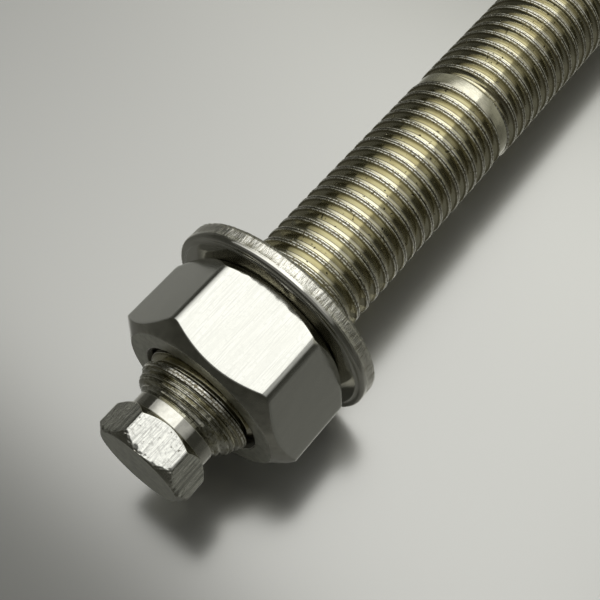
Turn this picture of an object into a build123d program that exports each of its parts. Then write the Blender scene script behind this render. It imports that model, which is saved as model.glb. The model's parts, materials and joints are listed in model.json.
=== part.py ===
from build123d import *
from math import atan, cos, degrees, radians, sin, tan
import os

os.makedirs("parts", exist_ok=True)

# An M16 anchor stud with a hexagonal driving end, its nut and its washer, lying at rest
# on the washer's rim and on the far end of the thread. Millimetres, +Z up.
# Stations are measured along the stud from the nut's outer face towards the far end.

# Stud: thread, length and setting depth
thread_d = 15.7
overall_length = 190.0
embed_depth = 125.0
far_end_chamfer = 1.5

# Stud: driving end and the turned neck behind it
drive_af = 12.0
drive_length = 4.85
drive_face_d = 11.75
drive_corner_r = 0.5
drive_projection = 10.9
neck_d = 11.3
neck_length = 1.8
drive_bevel_angle = 45.0
thread_start_angle = 45.0

# Stud: smooth ring rolled over the thread as the depth mark
mark_d = 15.0
mark_width = 2.2

# Nut
nut_af = 23.8
nut_height = 12.8
nut_corner_r = 1.5
nut_face_d = 22.2
nut_bevel_angle = 39.0
nut_sink_d = 17.2
nut_sink_angle = 90.0
running_clearance = 0.05

# Washer
washer_d = 29.5
washer_hole_d = 17.0
washer_t = 2.5
rim_roll_r = 0.5

# Turn of each hexagon about the stud's axis, from the topmost line of the stud
drive_turn = 14.6
nut_turn = 10.5

# Values that follow from the dimensions above
thread_r = thread_d / 2
bore_r = thread_r + running_clearance
drive_end = -drive_projection
drive_back = drive_end + drive_length
neck_end = drive_back + neck_length
thread_full = neck_end + (thread_d - neck_d) / 2 / tan(radians(thread_start_angle))
far_end = drive_end + overall_length
mark_middle = far_end - embed_depth
mark_step = (thread_d - mark_d) / 2
washer_back = nut_height + washer_t
far_rim = far_end - far_end_chamfer
far_face_r = thread_r - far_end_chamfer

# The stud rests on two circles, the washer's back rim and the rim of the far end,
# so its axis slopes down towards the far end.
slope = atan((washer_d / 2 - thread_r) / (far_rim - washer_back))
axis_height = washer_d / 2 * cos(slope) + washer_back * sin(slope)
first_x = drive_end * cos(slope) - drive_face_d / 2 * sin(slope)
last_x = far_end * cos(slope) + far_face_r * sin(slope)
axis_x = -(first_x + last_x) / 2

stud_plane = Plane(
    origin=(axis_x, 0, axis_height),
    x_dir=(sin(slope), 0, cos(slope)),
    z_dir=(cos(slope), 0, -sin(slope)),
)
stud_axis = Axis(stud_plane.origin, stud_plane.z_dir)
# Half sections are drawn on this plane: first coordinate radius, second coordinate station
section_plane = Plane(
    origin=stud_plane.origin,
    x_dir=stud_plane.x_dir,
    z_dir=-stud_plane.y_dir,
)
# A hexagon drawn with this rotation has one flat square to the topmost line of the stud
flat_up = 30.0


def bevel_depth(from_d, to_d, angle):
    """Axial depth of a cone that opens from one diameter to another."""
    return (to_d - from_d) / 2 * tan(radians(angle))


# Stud: the hexagon is cut first and turned to a cone at both ends, which gives its flats
# their curved ends. The neck, the threaded shank and the depth mark are one turned profile.
drive_turned_d = drive_af / cos(radians(30))
drive_bevel = bevel_depth(drive_face_d, drive_turned_d, drive_bevel_angle)

with BuildPart() as stud:
    with BuildSketch(stud_plane.offset(drive_end)):
        RegularPolygon(
            radius=drive_af / 2,
            side_count=6,
            major_radius=False,
            rotation=flat_up + drive_turn,
        )
    extrude(amount=drive_length)
    fillet(stud.edges().filter_by(stud_axis), radius=drive_corner_r)
    with BuildSketch(section_plane):
        with BuildLine():
            Polyline(
                (0, drive_end),
                (drive_face_d / 2, drive_end),
                (drive_turned_d / 2, drive_end + drive_bevel),
                (drive_turned_d / 2, drive_back - drive_bevel),
                (drive_face_d / 2, drive_back),
                (0, drive_back),
                close=True,
            )
        make_face()
    revolve(axis=stud_axis, mode=Mode.INTERSECT)
    with BuildSketch(section_plane):
        with BuildLine():
            Polyline(
                (0, drive_back),
                (neck_d / 2, drive_back),
                (neck_d / 2, neck_end),
                (thread_r, thread_full),
                (thread_r, mark_middle - mark_width / 2),
                (mark_d / 2, mark_middle - mark_width / 2 + mark_step),
                (mark_d / 2, mark_middle + mark_width / 2 - mark_step),
                (thread_r, mark_middle + mark_width / 2),
                (thread_r, far_end),
                (0, far_end),
                close=True,
            )
        make_face()
    revolve(axis=stud_axis)
    chamfer(stud.edges().filter_by(GeomType.CIRCLE).sort_by(stud_axis)[-1], length=far_end_chamfer)

stud.part.label = "stud"
export_step(stud.part, "parts/stud.step")

# Nut: a hexagon with softened corners, turned to a cone on both faces so that each flat
# ends in an arc, with a bore countersunk on both faces. The bore clears the shank.
nut_turned_d = nut_af / cos(radians(30))
nut_bevel = bevel_depth(nut_face_d, nut_turned_d, nut_bevel_angle)
outer_face = Plane(origin=stud_plane.origin, z_dir=-stud_plane.z_dir)
inner_face = stud_plane.offset(nut_height)

with BuildPart() as hex_nut:
    with BuildSketch(stud_plane):
        RegularPolygon(
            radius=nut_af / 2,
            side_count=6,
            major_radius=False,
            rotation=flat_up + nut_turn,
        )
    extrude(amount=nut_height)
    fillet(hex_nut.edges().filter_by(stud_axis), radius=nut_corner_r)
    with BuildSketch(section_plane):
        with BuildLine():
            Polyline(
                (0, 0),
                (nut_face_d / 2, 0),
                (nut_turned_d / 2, nut_bevel),
                (nut_turned_d / 2, nut_height - nut_bevel),
                (nut_face_d / 2, nut_height),
                (0, nut_height),
                close=True,
            )
        make_face()
    revolve(axis=stud_axis, mode=Mode.INTERSECT)
    with Locations(outer_face, inner_face):
        CounterSinkHole(
            radius=bore_r,
            counter_sink_radius=nut_sink_d / 2,
            depth=nut_height,
            counter_sink_angle=nut_sink_angle,
        )

hex_nut.part.label = "hex_nut"
export_step(hex_nut.part, "parts/hex_nut.step")

# Washer: a punched disc, rolled over on the side that faces the nut and sharp on the other
with BuildPart() as washer:
    with BuildSketch(stud_plane.offset(nut_height)):
        Circle(washer_d / 2)
        Circle(washer_hole_d / 2, mode=Mode.SUBTRACT)
    extrude(amount=washer_t)
    rim_edges = washer.edges().filter_by(GeomType.CIRCLE).group_by(SortBy.RADIUS)[-1]
    fillet(rim_edges.sort_by(stud_axis)[0], radius=rim_roll_r)

washer.part.label = "washer"
export_step(washer.part, "parts/washer.step")

print("slope of the axis, degrees:", round(degrees(slope), 3))
print("axis origin:", round(axis_x, 4), round(axis_height, 4))
for piece in (stud, hex_nut, washer):
    box = piece.part.bounding_box()
    print(piece.part.label, "volume mm3", round(piece.part.volume, 1), "faces", len(piece.faces()))
    print("  from", [round(v, 3) for v in box.min], "to", [round(v, 3) for v in box.max])
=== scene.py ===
# %% [markdown]
# # An anchor stud with its nut and washer
# The real thing is a stainless steel stud, threaded from end to end, that is set in a
# drilled hole and clamps a plate under its nut. It lies here on a plain bench, resting on
# the rim of its washer and on its far end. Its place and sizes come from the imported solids.
# Small things differ: the ring is drawn a tenth of a millimetre higher, and the crests, the
# first turns and the chipped edges a little lower. This lesson dresses the solids: the
# thread is really wound, the flats are really cut, and the marks of milling, rolling and
# punching come mostly from shaders.

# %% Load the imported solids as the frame
import json
import math

import bmesh
import bpy
from mathutils import Matrix, Vector, noise


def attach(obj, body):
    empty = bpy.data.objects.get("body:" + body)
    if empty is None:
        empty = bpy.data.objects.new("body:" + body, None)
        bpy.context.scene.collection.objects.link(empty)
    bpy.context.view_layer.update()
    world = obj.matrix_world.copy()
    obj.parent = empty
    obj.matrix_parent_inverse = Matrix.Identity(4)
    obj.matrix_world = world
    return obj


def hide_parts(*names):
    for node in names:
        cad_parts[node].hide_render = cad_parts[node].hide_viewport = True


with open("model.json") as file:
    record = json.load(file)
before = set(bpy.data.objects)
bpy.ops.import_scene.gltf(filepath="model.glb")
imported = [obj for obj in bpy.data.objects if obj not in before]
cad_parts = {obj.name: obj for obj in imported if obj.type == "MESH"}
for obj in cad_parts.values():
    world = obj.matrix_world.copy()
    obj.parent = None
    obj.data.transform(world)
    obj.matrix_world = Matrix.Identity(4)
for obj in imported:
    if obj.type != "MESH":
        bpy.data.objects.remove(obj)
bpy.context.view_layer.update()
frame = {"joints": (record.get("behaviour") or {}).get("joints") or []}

# %% [markdown]
# ## A drawing frame that lies along the stud
# The stud slopes a little, because the washer lifts one end. Drawing straight in the room's
# axes would tilt every number, so all pieces are drawn upright in millimetres round a
# vertical axis, with stations counted from the nut's outer face, and moved into place by one
# matrix. The nut's joint in the record says where that axis runs.

# %% The matrix from the drawing to the room
MM = 0.001
nut_height = 12.8
washer_thick = 2.5
joints = {joint["name"]: joint for joint in frame["joints"]}
along = Vector(joints["nut_turn"]["axis"]).normalized()
sideways = Vector((0, -1, 0))
upwards = sideways.cross(along)
nut_face_centre = Vector(joints["nut_turn"]["pos_m"]) - along * (nut_height / 2 * MM)
turn_into_room = Matrix((upwards, sideways, along)).transposed()
place = Matrix.Translation(nut_face_centre) @ turn_into_room.to_4x4() @ Matrix.Scale(MM, 4)
print("slope of the stud, degrees:", round(math.degrees(math.asin(-along.z)), 2))

# %% Stations along the stud, in millimetres from the nut's outer face
overall_length = 190.0
drive_end = -10.9
drive_back = -6.05
neck_end = -4.25
far_end = drive_end + overall_length
mark_start = 52.95
mark_stop = 55.15
thread_r = 7.85
print("far end at", far_end)

# %% [markdown]
# ## The camera
# The photograph looks down on the driving end from close by, so that the nut is large and
# the thread runs away to the upper right. The camera's place and lens were fitted to the
# outlines of the nut and the washer and to the turns of the thread.

# %% Set up the camera
scene = bpy.context.scene
lens_mm = 62.616
camera_place = Vector((-0.110904, -0.037100, 0.133204))
looks_along = Vector((0.34134, 0.27520, -0.89871)).normalized()
image_right = looks_along.cross(Vector((0, 0, 1))).normalized()
image_up = image_right.cross(looks_along)
camera_data = bpy.data.cameras.new("bench_camera")
camera_data.sensor_width = 36.0
camera_data.lens = lens_mm
camera_data.clip_start = 0.005
camera = bpy.data.objects.new("bench_camera", camera_data)
camera_turn = Matrix((image_right, image_up, -looks_along)).transposed()
camera.matrix_world = Matrix.Translation(camera_place) @ camera_turn.to_4x4()
scene.collection.objects.link(camera)
scene.camera = camera
scene.view_settings.view_transform = "Standard"
print("camera looks down by", round(math.degrees(math.asin(-looks_along.z)), 1), "degrees")

# %% [markdown]
# ## Light and bench
# Bright steel shows its surroundings, so its look is mostly the shape of the lamp. One large
# soft box hangs over the bench. Its edges were read from where the highlights begin and end
# on the round shank. The room behind it is dim, so what faces away from the box stays darker.
# Only the side beyond the far end is paler, so that the bench isn't black in low views that
# look that way.

# %% Hang the soft box and dim the room
box_height = 0.50
box_x = (-0.75, 0.60)
box_y = (-0.85, 1.00)
box_radiance = 1.75
room_tint = (1.0, 1.0, 0.86)
room_light = 0.05
wall_light = 0.38
pale_wall_side = (1.0, 0.0, 0.0)
wall_edge = (0.40, 0.66)

soft_data = bpy.data.lights.new("soft_box", "AREA")
soft_data.shape = "RECTANGLE"
soft_data.size = box_x[1] - box_x[0]
soft_data.size_y = box_y[1] - box_y[0]
soft_data.energy = box_radiance * math.pi * soft_data.size * soft_data.size_y
soft_box = bpy.data.objects.new("soft_box", soft_data)
soft_box.location = (sum(box_x) / 2, sum(box_y) / 2, box_height)
scene.collection.objects.link(soft_box)

world = bpy.data.worlds.new("dim_room")
world.use_nodes = True
room_tree = world.node_tree
room_tree.nodes["Background"].inputs["Color"].default_value = (*room_tint, 1)
room_direction = room_tree.nodes.new("ShaderNodeTexCoord")
towards_light = room_tree.nodes.new("ShaderNodeVectorMath")
towards_light.operation = "DOT_PRODUCT"
towards_light.inputs[1].default_value = pale_wall_side
room_tree.links.new(room_direction.outputs["Generated"], towards_light.inputs[0])
room_level = room_tree.nodes.new("ShaderNodeMapRange")
for socket, number in zip(room_level.inputs[1:5], (*wall_edge, room_light, wall_light)):
    socket.default_value = number
room_tree.links.new(towards_light.outputs["Value"], room_level.inputs["Value"])
room_tree.links.new(room_level.outputs["Result"], room_tree.nodes["Background"].inputs["Strength"])
scene.world = world
print("soft box power, watts:", round(soft_data.energy, 2))

# %% [markdown]
# The box isn't evenly bright, and the steel shows it: dim on the near side, then a hard edge,
# a slow fade towards the far side, and a dim wing beyond the driving end. A picture could
# carry that, but a few ramps over the lamp's own face keep the edge sharp and need no file.

# %% Shade the face of the soft box
wing_level = 0.10
hard_edge_y = (-0.185, -0.165)
far_fade_y = (0.12, 0.98)
driving_end_x = (-0.09, -0.03)
far_end_x = (0.36, 0.56)
soft_data.use_nodes = True
soft_tree = soft_data.node_tree

def box_ramp(value, low, high, to_low, to_high):
    node = soft_tree.nodes.new("ShaderNodeMapRange")
    soft_tree.links.new(value, node.inputs["Value"])
    for socket, number in zip(node.inputs[1:5], (low, high, to_low, to_high)):
        socket.default_value = number
    return node.outputs["Result"]

def box_math(operation, first, second):
    node = soft_tree.nodes.new("ShaderNodeMath")
    node.operation = operation
    soft_tree.links.new(first, node.inputs[0])
    soft_tree.links.new(second, node.inputs[1])
    return node.outputs[0]

face_spot = soft_tree.nodes.new("ShaderNodeSeparateXYZ")
face_geometry = soft_tree.nodes.new("ShaderNodeNewGeometry")
soft_tree.links.new(face_geometry.outputs["Parametric"], face_spot.inputs[0])
face_x = box_ramp(face_spot.outputs["X"], 0, 1, *box_x)
face_y = box_ramp(face_spot.outputs["Y"], 0, 1, *box_y)
near_side = box_ramp(face_y, -0.80, -0.45, 0.08, 0.28)
bright_edge = box_ramp(face_y, *hard_edge_y, 0.0, 1.0)
fading_side = box_ramp(face_y, *far_fade_y, 1.0, 0.02)
across_face = box_math("MAXIMUM", near_side, box_math("MULTIPLY", bright_edge, fading_side))
near_end = box_ramp(face_x, *driving_end_x, 0.0, 1.0)
far_end_fade = box_ramp(face_x, *far_end_x, 1.0, 0.0)
main_level = box_math("MULTIPLY", across_face, box_math("MULTIPLY", near_end, far_end_fade))
wing_side = box_ramp(face_y, 0.10, 0.60, 1.0, 0.3)
wing_end = box_ramp(face_x, *reversed(driving_end_x), 0.0, wing_level)
wing = box_math("MULTIPLY", wing_end, wing_side)
face_level = box_math("MAXIMUM", main_level, wing)
soft_tree.links.new(face_level, soft_tree.nodes["Emission"].inputs["Strength"])
print("soft box shaded across and along its face")

# %% [markdown]
# The real bench is brushed metal. This one is plain, mostly metallic and a little rough, so it
# mirrors the box softly. Steel that faces away from the box is lit mostly by the bench, whose
# tone sets how dark the shaded flats are. One flat grid is enough.

# %% Lay the bench
bench_size = 8.0
bench_colour = (0.43, 0.43, 0.405, 1)
bench_metal = 0.70
bench_roughness = 0.22

bench_mesh = bpy.data.meshes.new("bench")
bench_bm = bmesh.new()
bmesh.ops.create_grid(bench_bm, x_segments=1, y_segments=1, size=bench_size / 2)
bench_bm.to_mesh(bench_mesh)
bench_bm.free()
bench = bpy.data.objects.new("bench", bench_mesh)
scene.collection.objects.link(bench)
bench_material = bpy.data.materials.new("satin_bench")
bench_material.use_nodes = True
bench_shader = bench_material.node_tree.nodes["Principled BSDF"]
bench_shader.inputs["Base Color"].default_value = bench_colour
bench_shader.inputs["Metallic"].default_value = bench_metal
bench_shader.inputs["Roughness"].default_value = bench_roughness
bench_mesh.materials.append(bench_material)
print("bench laid,", bench_size, "metres square")

# %% [markdown]
# ## Small helpers for shaders
# A shader is a chain of small nodes. `Chain` adds one, sets its sockets and joins it up in a
# single call. Every steel starts from the same place: object coordinates turned into the
# drawing's own frame, in millimetres, so a grain can run along the stud or round it.

# %% A helper that adds and joins nodes
class Chain:
    def __init__(self, name):
        self.material = bpy.data.materials.new(name)
        self.material.use_nodes = True
        self.tree = self.material.node_tree
        self.shader = self.tree.nodes["Principled BSDF"]

    def put(self, socket, value):
        if isinstance(value, bpy.types.NodeSocket):
            self.tree.links.new(value, socket)
        elif value is not None:
            socket.default_value = value

    def add(self, kind, *values, settings=None, **named):
        node = self.tree.nodes.new(kind)
        for key, value in (settings or {}).items():
            setattr(node, key, value)
        for index, value in enumerate(values):
            self.put(node.inputs[index], value)
        for key, value in named.items():
            self.put(node.inputs[key.replace("_", " ")], value)
        return node

    def math(self, operation, *values):
        return self.add("ShaderNodeMath", *values, settings={"operation": operation}).outputs[0]

    def drawing(self):
        back = place.inverted()
        into = self.add("ShaderNodeMapping", settings={"vector_type": "POINT"})
        into.inputs["Location"].default_value = back.to_translation()
        into.inputs["Rotation"].default_value = back.to_euler()
        into.inputs["Scale"].default_value = back.to_scale()
        coords = self.add("ShaderNodeTexCoord")
        self.put(into.inputs["Vector"], coords.outputs["Object"])
        return into.outputs["Vector"]

    def stretch(self, vector, x, y, z):
        node = self.add("ShaderNodeMapping", vector, settings={"vector_type": "POINT"})
        node.inputs["Scale"].default_value = (x, y, z)
        return node.outputs["Vector"]

    def noise(self, vector, scale, detail=2.0, roughness=0.5):
        node = self.add(
            "ShaderNodeTexNoise", Vector=vector, Scale=scale, Detail=detail, Roughness=roughness
        )
        return node.outputs["Fac"]

    def ramp(self, value, low, high, to_low=0.0, to_high=1.0):
        node = self.add("ShaderNodeMapRange", value, low, high, to_low, to_high)
        return node.outputs["Result"]

    def mix(self, share, first, second):
        node = self.add("ShaderNodeMix", settings={"data_type": "RGBA"})
        self.put(node.inputs["Factor"], share)
        self.put(node.inputs[6], first)
        self.put(node.inputs[7], second)
        return node.outputs[2]

    def bump(self, height, distance_mm, normal=None):
        node = self.add("ShaderNodeBump", Height=height, Distance=distance_mm * MM, Strength=1.0)
        if normal is not None:
            self.put(node.inputs["Normal"], normal)
        return node.outputs["Normal"]

    def finish(self, colour, roughness, normal):
        self.shader.inputs["Metallic"].default_value = 1.0
        self.put(self.shader.inputs["Base Color"], colour)
        self.put(self.shader.inputs["Roughness"], roughness)
        self.put(self.shader.inputs["Normal"], normal)
        return self.material

print("shader helpers ready")

# %% [markdown]
# ## Steels
# The whole part is one metal, and its places differ in how a tool ran over them: a rolled
# thread, milled and scraped flats, turned cones and rings, a punched rim, worn spots and a
# grimy bore. Each gets a finish of its own, and a few also carry painted shade or painted
# reflections. The thread's colour follows the distance from the crest, measured along the
# helix, so that groove and lip each have their own tone, and painted shade darkens the seam
# between the lips and a narrow band down each crest's wall.

# %% Rolled thread: golden in the grooves, scratched bright on the crests
pitch = 2.0
crest_at = 0.72

def thread_steel(name):
    chain = Chain(name)
    spot = chain.drawing()
    parts = chain.add("ShaderNodeSeparateXYZ", spot)
    angle = chain.math("ARCTAN2", parts.outputs["Y"], parts.outputs["X"])
    turns = chain.math("DIVIDE", angle, 2 * math.pi)
    wound = chain.math("SUBTRACT", chain.math("DIVIDE", parts.outputs["Z"], pitch), turns)
    from_crest = chain.math("SUBTRACT", wound, crest_at / pitch)
    across = chain.math("MULTIPLY", chain.math("PINGPONG", from_crest, 0.5), pitch)
    crest = chain.ramp(across, 0.31, 0.28)
    # Painted shade: the seam between the two lips is darkened in colour.
    seam = chain.ramp(across, 0.09, 0.05)
    # Painted shade: a narrow band down the crest's wall, where the wall shades the groove, is
    # darkened in colour.
    shadow = chain.math("MULTIPLY", chain.ramp(across, 0.28, 0.31), chain.ramp(across, 0.44, 0.38))
    rolled = chain.noise(chain.stretch(spot, 0.25, 0.25, 9.0), 1.0, 3.0, 0.6)
    specks = chain.noise(spot, 3.6, 3.0, 0.65)
    patches = chain.noise(spot, 0.35, 2.0, 0.5)
    dark_gold, light_gold = (0.55, 0.515, 0.365, 1), (0.62, 0.595, 0.445, 1)
    groove = chain.mix(chain.ramp(patches, 0.35, 0.65), dark_gold, light_gold)
    lip = chain.mix(chain.ramp(specks, 0.41, 0.53), (0.28, 0.25, 0.16, 1), (0.88, 0.87, 0.78, 1))
    colour = chain.mix(shadow, groove, (0.30, 0.275, 0.18, 1))
    colour = chain.mix(crest, colour, lip)
    colour = chain.mix(seam, colour, (0.20, 0.18, 0.12, 1))
    pit = chain.ramp(chain.noise(spot, 1.9, 1.0, 0.5), 0.72, 0.76)
    colour = chain.mix(pit, colour, (0.10, 0.09, 0.05, 1))
    rough = chain.ramp(rolled, 0.3, 0.7, 0.09, 0.15)
    rough = chain.math("ADD", rough, chain.math("MULTIPLY", crest, 0.01))
    lines = chain.bump(rolled, 0.003)
    scuffed = chain.bump(chain.math("MULTIPLY", specks, crest), 0.022, lines)
    pitted = chain.bump(chain.math("MULTIPLY", pit, -1.0), 0.05, scuffed)
    return chain.finish(colour, rough, pitted)

thread_material = thread_steel("thread_steel")
print("thread steel ready")

# %% [markdown]
# A cutter ran along the flats of both hexagons and left fine lines. Noise that is squeezed
# across the stud and stretched along it gives them. The driving end's flats that face away
# from the top get a brighter version with strong light and dark streaks in its colour: partly
# scraping marks, partly painted reflections.

# %% Milled flats: fine lines along the axis
def milled_steel(name, tint, line_depth, shade, nick_above, stain, streak=0.93):
    chain = Chain(name)
    spot = chain.drawing()
    fine = chain.noise(chain.stretch(spot, 7.0, 7.0, 0.22), 1.0, 3.0, 0.65)
    broad = chain.noise(chain.stretch(spot, 1.6, 1.6, 0.10), 1.0, 2.0, 0.5)
    cloud = chain.noise(spot, 0.6, 3.0, 0.55)
    dark = tuple(shade * v for v in tint)
    colour = chain.mix(chain.ramp(fine, 0.36, 0.55), (*dark, 1), (*tint, 1))
    streaked = tuple(streak * v for v in tint)
    colour = chain.mix(chain.ramp(broad, 0.32, 0.50), (*streaked, 1), colour)
    mottle = chain.noise(spot, 2.4, 2.0, 0.6)
    stained = tuple(stain * v for v in tint)
    colour = chain.mix(chain.ramp(mottle, 0.30, 0.50), (*stained, 1), colour)
    nicks = chain.noise(chain.stretch(spot, 3.2, 3.2, 2.0), 1.0, 2.0, 0.6)
    nick = chain.ramp(nicks, nick_above, nick_above + 0.03)
    colour = chain.mix(nick, colour, (0.12, 0.11, 0.08, 1))
    rough = chain.ramp(cloud, 0.3, 0.7, 0.14, 0.20)
    lines = chain.bump(fine, line_depth)
    nicked = chain.bump(chain.math("MULTIPLY", nick, -1.0), 0.04, lines)
    return chain.finish(colour, rough, nicked)

nut_flat_material = milled_steel("milled_steel", (0.58, 0.58, 0.53), 0.006, 0.86, 0.80, 0.90)
drive_flat_material = milled_steel(
    "milled_steel_coarse", (0.60, 0.60, 0.55), 0.018, 0.60, 0.69, 0.62
)
# A brighter copy for the flats that face away from the top: its light and dark streaks are partly
# scraping marks, partly painted reflections.
scraped_painted_streak_material = milled_steel(
    "scraped_steel_painted_streaks", (0.86, 0.86, 0.76), 0.030, 0.30, 0.66, 0.55, streak=0.36
)
print("milled steels ready")

# %% [markdown]
# The cones, the end faces and the neck were turned on a lathe, which leaves rings. Noise of
# the radius and the station alone is the same all the way round, so it draws rings. The
# nut's bore and countersinks get a nearly black version: partly grime, partly painted shade
# in the gap round the thread. The nut's bore gets a dark, grimy version, a guess from the
# dark gap round the thread.

# %% Turned steel: rings round the axis
def turned_steel(name, tint, ring_depth, dent_depth, low_rough, high_rough):
    chain = Chain(name)
    spot = chain.drawing()
    parts = chain.add("ShaderNodeSeparateXYZ", spot)
    flat = chain.add("ShaderNodeCombineXYZ", parts.outputs["X"], parts.outputs["Y"], 0.0)
    reach = chain.add("ShaderNodeVectorMath", flat.outputs[0], settings={"operation": "LENGTH"})
    ringed = chain.add(
        "ShaderNodeCombineXYZ",
        chain.math("MULTIPLY", reach.outputs["Value"], 9.0),
        0.0,
        chain.math("MULTIPLY", parts.outputs["Z"], 9.0),
    )
    rings = chain.noise(ringed.outputs[0], 1.0, 2.0, 0.6)
    cloud = chain.noise(spot, 0.9, 3.0, 0.6)
    scuffs = chain.noise(chain.stretch(spot, 4.0, 1.0, 4.0), 1.0, 3.0, 0.6)
    dull = tuple(0.8 * v for v in tint)
    colour = chain.mix(chain.ramp(cloud, 0.35, 0.6), (*dull, 1), (*tint, 1))
    rough = chain.ramp(scuffs, 0.3, 0.7, low_rough, high_rough)
    lines = chain.bump(rings, ring_depth)
    dented = chain.bump(cloud, dent_depth, lines)
    return chain.finish(colour, rough, dented)

turned_material = turned_steel("turned_steel", (0.60, 0.59, 0.52), 0.003, 0.0, 0.06, 0.12)
satin_material = turned_steel("satin_steel", (0.70, 0.70, 0.62), 0.010, 0.006, 0.30, 0.42)
ring_material = turned_steel("rolled_ring_steel", (0.58, 0.56, 0.45), 0.006, 0.016, 0.10, 0.18)
# Nearly black in colour: partly grime, partly painted shade inside the bore.
bore_grime_and_shade_material = turned_steel("grime_and_shade_steel", (0.16, 0.15, 0.11), 0.006, 0.010, 0.25, 0.40)
print("turned steels ready")

# %% [markdown]
# The first turns are knocked about, and look darker and patchier than the rest. Three noises
# are enough: patches of tint, dark and bright specks, and lines along the roll.

# %% Worn steel: the battered turns at the start of the thread
def worn_steel(name):
    chain = Chain(name)
    spot = chain.drawing()
    specks = chain.noise(spot, 3.4, 4.0, 0.7)
    patches = chain.noise(chain.stretch(spot, 0.5, 0.5, 1.4), 1.0, 3.0, 0.6)
    rolled = chain.noise(chain.stretch(spot, 0.3, 0.3, 7.0), 1.0, 3.0, 0.6)
    tint = chain.mix(chain.ramp(patches, 0.38, 0.58), (0.34, 0.32, 0.21, 1), (0.62, 0.61, 0.52, 1))
    colour = chain.mix(chain.ramp(specks, 0.38, 0.45), (0.12, 0.11, 0.07, 1), tint)
    colour = chain.mix(chain.ramp(specks, 0.56, 0.68), colour, (0.84, 0.83, 0.76, 1))
    rough = chain.ramp(patches, 0.35, 0.65, 0.05, 0.11)
    lines = chain.bump(rolled, 0.006)
    scuffed = chain.bump(specks, 0.012, lines)
    return chain.finish(colour, rough, scuffed)

worn_material = worn_steel("worn_steel")
print("worn steel ready")

# %% [markdown]
# About a third of the washer's rim is smooth, and the rest is torn. One ramp along the axis
# switches between a bright finish and a coarse upright grain.

# %% Punched washer: rolled edge and coarse shear marks on the rim
def punched_steel(name):
    chain = Chain(name)
    spot = chain.drawing()
    parts = chain.add("ShaderNodeSeparateXYZ", spot)
    shear_rim = chain.ramp(parts.outputs["Z"], nut_height + 0.75, nut_height + 0.95)
    grain = chain.noise(chain.stretch(spot, 4.2, 4.2, 0.7), 1.0, 4.0, 0.7)
    torn = chain.noise(chain.stretch(spot, 3.4, 3.4, 2.2), 1.0, 3.0, 0.7)
    cloud = chain.noise(spot, 0.5, 3.0, 0.5)
    bright = chain.mix(chain.ramp(cloud, 0.35, 0.65), (0.55, 0.54, 0.48, 1), (0.63, 0.62, 0.56, 1))
    marks = chain.mix(chain.ramp(grain, 0.38, 0.52), (0.40, 0.38, 0.31, 1), (0.74, 0.73, 0.66, 1))
    colour = chain.mix(shear_rim, bright, marks)
    rough = chain.ramp(shear_rim, 0.0, 1.0, 0.12, 0.26)
    torn_height = chain.math("MULTIPLY", chain.math("ADD", torn, grain), shear_rim)
    lines = chain.bump(torn_height, 0.055)
    return chain.finish(colour, rough, lines)

washer_material = punched_steel("punched_steel")
print("washer steel ready")

# %% [markdown]
# ## From a drawing to a piece
# Each piece is drawn in a bmesh in millimetres. `make_piece` turns its faces outwards, shades
# it smoothly, moves it into the room and lets it ride on its body.

# %% A helper that finishes a piece
normal_weight = 60

def make_piece(bm, name, body, materials, weighted=False):
    bmesh.ops.recalc_face_normals(bm, faces=bm.faces)
    for face in bm.faces:
        face.smooth = True
    bm.transform(place)
    mesh = bpy.data.meshes.new(name)
    bm.to_mesh(mesh)
    bm.free()
    for material in materials:
        mesh.materials.append(material)
    piece = bpy.data.objects.new(name, mesh)
    scene.collection.objects.link(piece)
    if weighted:
        piece.modifiers.new("even_normals", "WEIGHTED_NORMAL").weight = normal_weight
    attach(piece, body)
    print(name, "has", len(mesh.polygons), "faces")
    return piece

# %% [markdown]
# ## The thread
# A rolled thread is one groove wound round the bar. Rolling pushes the metal up from both
# sides, so each crest ends in two small lips with a seam between them. One turn of that
# section is spun round the axis while it climbs by the pitch, and the turns are merged.

# %% One pitch of the thread's section, from root to root
crest_r = 7.81
root_r = 6.92
pitch_r = 7.35
root_round = 0.15
flank_angle = math.radians(60)

half_section = [
    (0.0, crest_r - 0.09),
    (0.05, crest_r - 0.08),
    (0.09, crest_r - 0.03),
    (0.12, crest_r - 0.004),
    (0.20, crest_r),
    (0.26, crest_r - 0.008),
    (0.29, crest_r - 0.05),
    (0.31, crest_r - 0.13),
    (0.335, crest_r - 0.18),
]
root_corner = pitch / 4 + (pitch_r - root_r) / math.tan(flank_angle)
round_start = root_corner + root_round * math.tan(flank_angle / 2)
for step in (3, 2, 1, 0):
    turn = flank_angle * step / 3
    z = round_start - root_round * math.sin(turn)
    half_section.append((z, root_r + root_round * (1 - math.cos(turn))))
half_section.append((pitch / 2, root_r))
section = [(-z, r) for z, r in reversed(half_section)] + half_section[1:]
print("points across one pitch:", len(section))

# %% Wind the section round the axis
def wind(first_turn, last_turn, steps):
    bm = bmesh.new()
    ring = [bm.verts.new((r, 0, crest_at + pitch * first_turn + z)) for z, r in section]
    edges = [bm.edges.new(pair) for pair in zip(ring, ring[1:])]
    bmesh.ops.spin(
        bm,
        geom=ring + edges,
        cent=(0, 0, 0),
        axis=(0, 0, 1),
        dvec=(0, 0, pitch / steps),
        angle=2 * math.pi,
        steps=steps,
        use_merge=False,
        use_normal_flip=False,
        use_duplicate=False,
    )
    one_turn = bm.verts[:] + bm.edges[:] + bm.faces[:]
    for turn in range(1, last_turn - first_turn):
        copy = bmesh.ops.duplicate(bm, geom=one_turn)["geom"]
        moved = [g for g in copy if isinstance(g, bmesh.types.BMVert)]
        bmesh.ops.translate(bm, vec=(0, 0, pitch * turn), verts=moved)
    bmesh.ops.remove_doubles(bm, verts=bm.verts, dist=0.004)
    return bm

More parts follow.
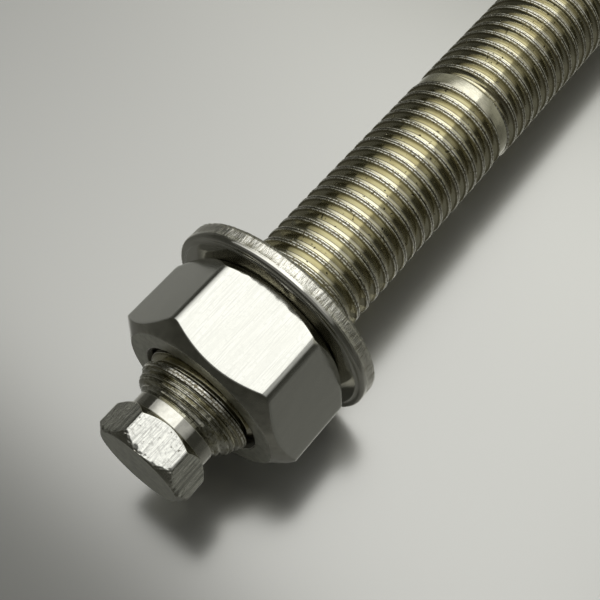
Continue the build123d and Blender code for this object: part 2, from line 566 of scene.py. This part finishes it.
def cut_square(bm, station, keep_far):
    geom = bm.verts[:] + bm.edges[:] + bm.faces[:]
    cut = bmesh.ops.bisect_plane(
        bm,
        geom=geom,
        dist=0.0005,
        plane_co=(0, 0, station),
        plane_no=(0, 0, 1),
        clear_inner=keep_far,
        clear_outer=not keep_far,
    )
    rim = [e for e in cut["geom_cut"] if isinstance(e, bmesh.types.BMEdge)]
    return bmesh.ops.contextual_create(bm, geom=rim)["faces"]

end_rim = 0.12

def finish_end(bm, cap):
    """A narrow rim keeps the shading of a turned end face flat."""
    for face in cap:
        face.material_index = 1
    rim = bmesh.ops.inset_region(bm, faces=cap, thickness=end_rim, use_even_offset=True)["faces"]
    for face in rim:
        face.material_index = 1
    print("end face:", len(cap), "cap and", len(rim), "rim faces")

def wear(bm, depth, grain):
    for vert in bm.verts:
        x, y, z = vert.co
        reach = math.hypot(x, y)
        if reach > crest_r - 0.1:
            dent = noise.noise(vert.co * grain) * depth
            vert.co.x -= x / reach * max(0, dent)
            vert.co.y -= y / reach * max(0, dent)

print("winding helpers ready")

# %% [markdown]
# Round pieces without a thread are made as on a lathe: a profile is spun once round the axis,
# and its open ends are filled.

# %% Helpers that turn a profile and close its open ends
def turned(profile, steps):
    bm = bmesh.new()
    ring = [bm.verts.new((r, 0, z)) for z, r in profile]
    edges = [bm.edges.new(pair) for pair in zip(ring, ring[1:])]
    bmesh.ops.spin(
        bm,
        geom=ring + edges,
        cent=(0, 0, 0),
        axis=(0, 0, 1),
        angle=2 * math.pi,
        steps=steps,
        use_merge=True,
        use_normal_flip=False,
        use_duplicate=False,
    )
    bmesh.ops.remove_doubles(bm, verts=bm.verts, dist=0.0005)
    return bm

def close_ends(bm):
    open_edges = [e for e in bm.edges if e.is_boundary]
    bmesh.ops.holes_fill(bm, edges=open_edges, sides=0)

print("turning helpers ready")

# %% [markdown]
# The near length stops at the depth mark. Its crests are lowered a little towards the
# driving end, where the bar was coned before rolling, and dented by a low noise.

# %% Wind the near thread, as far as the depth mark
steps_per_turn = 80
crest_dents = 0.06
dent_grain = 1.3
near_thread = wind(first_turn=-3, last_turn=27, steps=steps_per_turn)
thread_start = -1.9
start_slope = 0.15
full_crest_from = -0.3
for vert in near_thread.verts:
    reach = math.hypot(vert.co.x, vert.co.y)
    limit = crest_r + min(0.0, vert.co.z - full_crest_from) * start_slope
    if reach > limit:
        vert.co.xy = vert.co.xy * (limit / reach)
wear(near_thread, crest_dents, dent_grain)
cut_square(near_thread, thread_start, True)
cut_square(near_thread, mark_start, False)
near_piece = make_piece(near_thread, "thread_near", "stud", [thread_material])

# %% [markdown]
# Here the ridges are low and uneven, so one wound section won't do. A turned profile with
# six uneven ridges stands for them. It is leaned, so that along the top, the side that the
# photograph shows, the ridges slope as the helix does.

# %% Turn the battered start of the thread, where the bar was coned before rolling
start_profile = [
    (-4.28, 4.0), (-4.28, 5.60), (-4.00, 5.64), (-3.90, 5.80), (-3.76, 6.02), (-3.60, 6.08),
    (-3.44, 6.06), (-3.30, 6.14), (-3.16, 6.56), (-3.04, 6.84), (-2.94, 6.90), (-2.84, 6.72),
    (-2.74, 6.64), (-2.66, 6.80), (-2.58, 7.06), (-2.48, 7.14), (-2.36, 7.12), (-2.26, 6.84),
    (-2.12, 6.60), (-1.98, 6.76), (-1.88, 7.30), (-1.78, 7.42), (-1.68, 7.42), (-1.60, 7.22),
    (-1.52, 7.28), (-1.42, 7.60), (-1.24, 7.67), (-1.08, 7.69), (-0.98, 7.40), (-0.84, 6.98),
    (-0.66, 6.92), (-0.52, 7.14), (-0.38, 7.00), (-0.10, 6.80), (-0.10, 4.0),
]
battered_turns = turned(start_profile, steps=180)
helix_lean = pitch / (2 * math.pi)
start_dents = 0.10
past_neck_r = 5.7
lean_from = -4.0
lean_full_after = 1.2
for vert in battered_turns.verts:
    x, y, z = vert.co
    reach = math.hypot(x, y)
    if reach > past_neck_r:
        dent = noise.noise(Vector((x * 0.9, y * 0.9, z * 1.4))) * start_dents
        rise = min(1.0, (z - lean_from) / lean_full_after)
        vert.co.xy = vert.co.xy * (1 - abs(dent) / reach)
        vert.co.z = z + helix_lean * y / reach * rise
close_ends(battered_turns)
make_piece(battered_turns, "thread_start", "stud", [worn_material])

# %% [markdown]
# Behind the mark the thread is wound in two lengths, because as one piece it would pass
# 200,000 triangles. Pulling in all that stands outside a cone chamfers the end, and another
# cone lets the crests rise again behind the mark.

# %% Wind the far thread in two lengths and chamfer its end
far_chamfer = 1.5
far_middle = 112.0
mark_edge_r = 7.45
mark_slope = 0.8
under_mark = 0.05
far_lengths = [
    ("thread_middle", 26, 57, mark_stop - under_mark, far_middle),
    ("thread_far", 55, 91, far_middle, far_end),
]
for name, first_turn, last_turn, near_cut, far_cut in far_lengths:
    far_thread = wind(first_turn, last_turn, steps_per_turn)
    for vert in far_thread.verts:
        reach = math.hypot(vert.co.x, vert.co.y)
        end_limit = thread_r - far_chamfer + max(0.0, far_end - vert.co.z)
        mark_limit = mark_edge_r + max(0.0, vert.co.z - mark_stop) * mark_slope
        limit = min(end_limit, mark_limit)
        if reach > limit:
            vert.co.xy = vert.co.xy * (limit / reach)
    wear(far_thread, crest_dents, dent_grain)
    cut_square(far_thread, near_cut, True)
    cap = cut_square(far_thread, far_cut, False)
    if far_cut == far_end:
        finish_end(far_thread, cap)
    make_piece(far_thread, name, "stud", [thread_material, satin_material])

# %% [markdown]
# ## The depth mark
# A smooth ring, rolled over the turns, tells the fitter how deep to set the stud. It is a
# short band a little below the crests, with rounded shoulders. A turned profile of its own is
# simpler than flattening the wound turns.

# %% Turn the ring of the depth mark
mark_r = 7.60
mark_profile = [
    (mark_start - 0.15, 6.4),
    (mark_start - 0.12, mark_r - 0.30),
    (mark_start - 0.03, mark_r - 0.09),
    (mark_start + 0.07, mark_r - 0.02),
    (mark_start + 0.30, mark_r),
    (mark_stop - 0.30, mark_r),
    (mark_stop - 0.14, mark_r - 0.01),
    (mark_stop - 0.06, mark_r - 0.06),
    (mark_stop + 0.04, mark_r - 0.30),
    (mark_stop + 0.15, 6.6),
]
mark_ring = turned(mark_profile, steps=160)
close_ends(mark_ring)
make_piece(mark_ring, "depth_mark", "stud", [ring_material])

# %% [markdown]
# ## The hexagons
# A hexagon for a spanner is cut first and then turned to a cone, so every flat ends in an
# arc. The section is worked out at each angle round the axis: out along the face, down the
# cone to the flat, and along the flat to the other cone, with small rounds where they meet.
# Cutting a prism with cones gives the same arcs, but matched rings of points shade cleaner.

# %% The outline of a hexagon with rounded corners
def hexagon_radius(angle, half_flats, corner_r):
    off_flat = (angle + math.radians(30)) % math.radians(60) - math.radians(30)
    tangent = math.atan((half_flats - corner_r) * math.tan(math.radians(30)) / half_flats)
    if abs(off_flat) <= tangent:
        return half_flats / math.cos(off_flat)
    centre = (half_flats - corner_r) / math.cos(math.radians(30))
    off_corner = math.radians(30) - abs(off_flat)
    across = centre * math.sin(off_corner)
    return centre * math.cos(off_corner) + math.sqrt(corner_r**2 - across**2)

def hexagon_angles(half_flats, corner_r, on_flat, on_corner):
    tangent = math.atan((half_flats - corner_r) * math.tan(math.radians(30)) / half_flats)
    corner = math.radians(30) - tangent
    angles = []
    for side in range(6):
        middle = math.radians(60 * side)
        angles += [middle - tangent + 2 * tangent * k / on_flat for k in range(on_flat)]
        angles += [middle + tangent + 2 * corner * k / on_corner for k in range(on_corner)]
    return angles

print("hexagon outline ready")

# %% Helpers that round and refine a section
side_share = 0.45

def rounded(points, radius, steps):
    """A polyline with every inner corner turned into a short arc."""
    out = [points[0]]
    for before, corner, after in zip(points, points[1:], points[2:]):
        c = Vector(corner)
        back = Vector(before) - c
        on = Vector(after) - c
        reach = min(radius, back.length * side_share, on.length * side_share)
        first = c + back.normalized() * reach
        last = c + on.normalized() * reach
        for k in range(steps + 1):
            t = k / steps
            out.append(tuple(first.lerp(c, t).lerp(c.lerp(last, t), t)))
    out.append(points[-1])
    return out

def densify(sections, longest):
    """The same sections with long stretches divided evenly, alike in all of them."""
    counts = []
    for level in range(len(sections[0]) - 1):
        gap = max(math.dist(line[level], line[level + 1]) for line in sections)
        counts.append(max(1, math.ceil(gap / longest)))
    finer = []
    for line in sections:
        out = [line[0]]
        for count, before, after in zip(counts, line, line[1:]):
            start, stop = Vector(before), Vector(after)
            out += [tuple(start.lerp(stop, k / count)) for k in range(1, count + 1)]
        finer.append(out)
    return finer

print("section helpers ready")

# %% A helper that stacks matched rings into a piece
def stack_rings(angles, section_at, longest):
    """Extrudes a ring of vertices along the section that belongs to each angle."""
    sections = densify([section_at(angle) for angle in angles], longest)
    bm = bmesh.new()
    ring = bmesh.ops.create_circle(bm, segments=len(angles), radius=1.0, cap_ends=False)["verts"]
    ring.sort(key=lambda v: math.atan2(v.co.y, v.co.x) % (2 * math.pi))
    edges = list({e for v in ring for e in v.link_edges})
    for level in range(len(sections[0])):
        if level:
            made = bmesh.ops.extrude_edge_only(bm, edges=edges)["geom"]
            edges = [g for g in made if isinstance(g, bmesh.types.BMEdge)]
            fresh = [g for g in made if isinstance(g, bmesh.types.BMVert)]
            lower = set(ring)
            follow = {}
            for vert in fresh:
                for edge in vert.link_edges:
                    other = edge.other_vert(vert)
                    if other in lower:
                        follow[other] = vert
            ring = [follow[v] for v in ring]
        for vert, angle, line in zip(ring, angles, sections):
            z, r = line[level]
            vert.co = (r * math.cos(angle), r * math.sin(angle), z)
    return bm

print("ring stacking ready")

# %% Helpers that chip an edge and pick the finishes
chip_beyond_r = 5
fine_grain = 2.7
fine_share = 0.6
nick_from = 0.12

def chip_edge(bm, edge_station, reach_along, depth, grain):
    """Small nicks along the edge where a cone meets the flats."""
    for vert in bm.verts:
        x, y, z = vert.co
        reach = math.hypot(x, y)
        near = 1 - abs(z - edge_station(math.atan2(y, x))) / reach_along
        if near > 0 and reach > chip_beyond_r:
            coarse = noise.noise(Vector((x, y, z)) * grain)
            fine = noise.noise(Vector((x, y, z)) * grain * fine_grain)
            nick = max(0.0, coarse + fine_share * fine - nick_from)
            vert.co.xy = vert.co.xy * (1 - depth * near * nick / reach)

end_face_tilt = 0.99
flat_tilt = 0.25

def finishes(bm, flat_reach):
    """0 for flats, 1 for turned cones, 2 for the end faces."""
    for face in bm.faces:
        centre = face.calc_center_median()
        face.normal_update()
        upright = abs(face.normal.z)
        if upright > end_face_tilt:
            face.material_index = 2
        elif upright < flat_tilt and math.hypot(centre.x, centre.y) > flat_reach:
            face.material_index = 0
        else:
            face.material_index = 1

print("chip and finish helpers ready")

# %% [markdown]
# A socket drives the stud by this small hexagon. Its mesh is fine, so that the chips along
# its front edge are real dents in the outline and not only bump.

# %% Cut the driving hexagon
drive_af = 12.0
drive_face_r = 5.875
drive_corner_r = 0.5
drive_bevel = math.tan(math.radians(45))
drive_turn = math.radians(14.6)

def drive_section(angle):
    r = hexagon_radius(angle - drive_turn, drive_af / 2, drive_corner_r)
    cone = (r - drive_face_r) * drive_bevel
    corners = [
        (drive_end, 0.6),
        (drive_end, drive_face_r),
        (drive_end + cone, r),
        (drive_back - cone, r),
        (drive_back, drive_face_r),
        (drive_back, 4.0),
    ]
    return rounded(corners, radius=0.11, steps=3)

def drive_edge(angle):
    r = hexagon_radius(angle - drive_turn, drive_af / 2, drive_corner_r)
    return drive_end + (r - drive_face_r) * drive_bevel

drive_outline = hexagon_angles(drive_af / 2, drive_corner_r, on_flat=44, on_corner=6)
drive_angles = [a + drive_turn for a in drive_outline]
driver = stack_rings(drive_angles, drive_section, longest=0.14)
close_ends(driver)
finishes(driver, flat_reach=5.9)
# Flats more than 30 degrees off the top get the copy with painted reflection streaks.
upper_flat = math.radians(30)
for face in driver.faces:
    middle = face.calc_center_median()
    off_top = (math.atan2(middle.y, middle.x) - drive_turn + math.pi) % (2 * math.pi) - math.pi
    if face.material_index == 0 and abs(off_top) > upper_flat:
        face.material_index = 3
chip_edge(driver, drive_edge, reach_along=0.4, depth=0.45, grain=2.0)
drive_materials = [drive_flat_material, turned_material, satin_material, scraped_painted_streak_material]
make_piece(driver, "driving_hexagon", "stud", drive_materials, weighted=True)

# %% [markdown]
# A plain turned neck joins the driving end to the thread. It reaches a little into both,
# so no gap opens between the pieces.

# %% Turn the neck
neck_r = 5.65
neck_profile = [
    (drive_back - 0.1, 4.0),
    (drive_back - 0.1, neck_r - 0.02),
    (drive_back + 0.12, neck_r - 0.03),
    (neck_end - 0.2, neck_r),
    (neck_end + 0.27, neck_r + 0.02),
    (neck_end + 0.27, 4.0),
]
neck = turned(neck_profile, steps=96)
close_ends(neck)
make_piece(neck, "neck", "stud", [turned_material], weighted=True)
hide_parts("stud")

# %% [markdown]
# The nut is made like the driving end and then has its bore bridged from rim to rim. The
# bore is plain and clears the thread, so the nut can travel along it.

# %% Cut the nut, with its countersunk bore
nut_af = 23.8
nut_face_r = 11.1
nut_corner_r = 1.5
nut_bevel = math.tan(math.radians(39))
nut_turn = math.radians(10.5)
sink_r = 8.6
bore_r = 7.9

def nut_section(angle):
    r = hexagon_radius(angle - nut_turn, nut_af / 2, nut_corner_r)
    cone = (r - nut_face_r) * nut_bevel
    sink = sink_r - bore_r
    corners = [
        (sink, bore_r),
        (0, sink_r),
        (0, nut_face_r),
        (cone, r),
        (nut_height - cone, r),
        (nut_height, nut_face_r),
        (nut_height, sink_r),
        (nut_height - sink, bore_r),
    ]
    return rounded(corners, radius=0.10, steps=2)

def nut_back_edge(angle):
    r = hexagon_radius(angle - nut_turn, nut_af / 2, nut_corner_r)
    return nut_height - (r - nut_face_r) * nut_bevel

nut_outline = hexagon_angles(nut_af / 2, nut_corner_r, on_flat=40, on_corner=10)
nut_angles = [a + nut_turn for a in nut_outline]
nut = stack_rings(nut_angles, nut_section, longest=0.5)
rims = [e for e in nut.edges if e.is_boundary]
bmesh.ops.bridge_loops(nut, edges=rims)
finishes(nut, flat_reach=11.3)
# Faces inside the countersink get the nearly black copy, which is grime plus painted shade.
inside_sink = 0.12
for face in nut.faces:
    inner = face.calc_center_median()
    if math.hypot(inner.x, inner.y) < sink_r - inside_sink:
        face.material_index = 3
chip_edge(nut, nut_back_edge, reach_along=0.5, depth=0.16, grain=0.9)
nut_materials = [nut_flat_material, turned_material, satin_material, bore_grime_and_shade_material]
nut_piece = make_piece(nut, "hex_nut_body", "hex_nut", nut_materials, weighted=True)
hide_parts("hex_nut")

# %% [markdown]
# ## The washer
# A washer is punched from sheet. Punching rolls one edge over and tears the rest of the rim,
# which leaves coarse upright marks. A turned profile gives the disc, and a low noise pulls
# its torn part in, so that the marks are in the shape and not only in the finish.

# %% Turn the washer and roughen its torn rim
washer_r = 14.75
washer_hole_r = 8.5
washer_back = nut_height + washer_thick
bearing_r = washer_r - 1.15
bearing_step = 0.08
washer_profile = [
    (nut_height, washer_hole_r + 0.25),
    (nut_height, bearing_r - 0.04),
    (nut_height + 0.02, bearing_r),
    (nut_height + bearing_step, bearing_r + 0.01),
    (nut_height + bearing_step, washer_r - 0.60),
    (nut_height + 0.11, washer_r - 0.36),
    (nut_height + 0.19, washer_r - 0.16),
    (nut_height + 0.35, washer_r - 0.04),
    (nut_height + 0.60, washer_r),
    (nut_height + 0.80, washer_r),
    (nut_height + 0.95, washer_r - 0.03),
    (nut_height + 1.5, washer_r - 0.01),
    (washer_back - 0.4, washer_r - 0.01),
    (washer_back, washer_r - 0.02),
    (washer_back, washer_hole_r),
    (nut_height + 0.25, washer_hole_r),
    (nut_height + 0.07, washer_hole_r + 0.07),
    (nut_height, washer_hole_r + 0.25),
]
washer = turned(washer_profile, steps=480)
torn_from = nut_height + 0.8
torn_full_after = 0.2
torn_mean = 0.06
torn_swing = 0.10
for vert in washer.verts:
    reach = math.hypot(vert.co.x, vert.co.y)
    depth = min(1.0, max(0.0, (vert.co.z - torn_from) / torn_full_after))
    if reach > washer_r - 0.2 and depth > 0:
        grain = noise.noise(Vector((vert.co.x * 1.7, vert.co.y * 1.7, vert.co.z * 0.25)))
        vert.co.xy = vert.co.xy * (1 - max(0.0, torn_mean + torn_swing * grain) * depth / reach)
washer_piece = make_piece(
    washer, "washer_disc", "washer", [washer_material], weighted=True
)
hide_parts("washer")
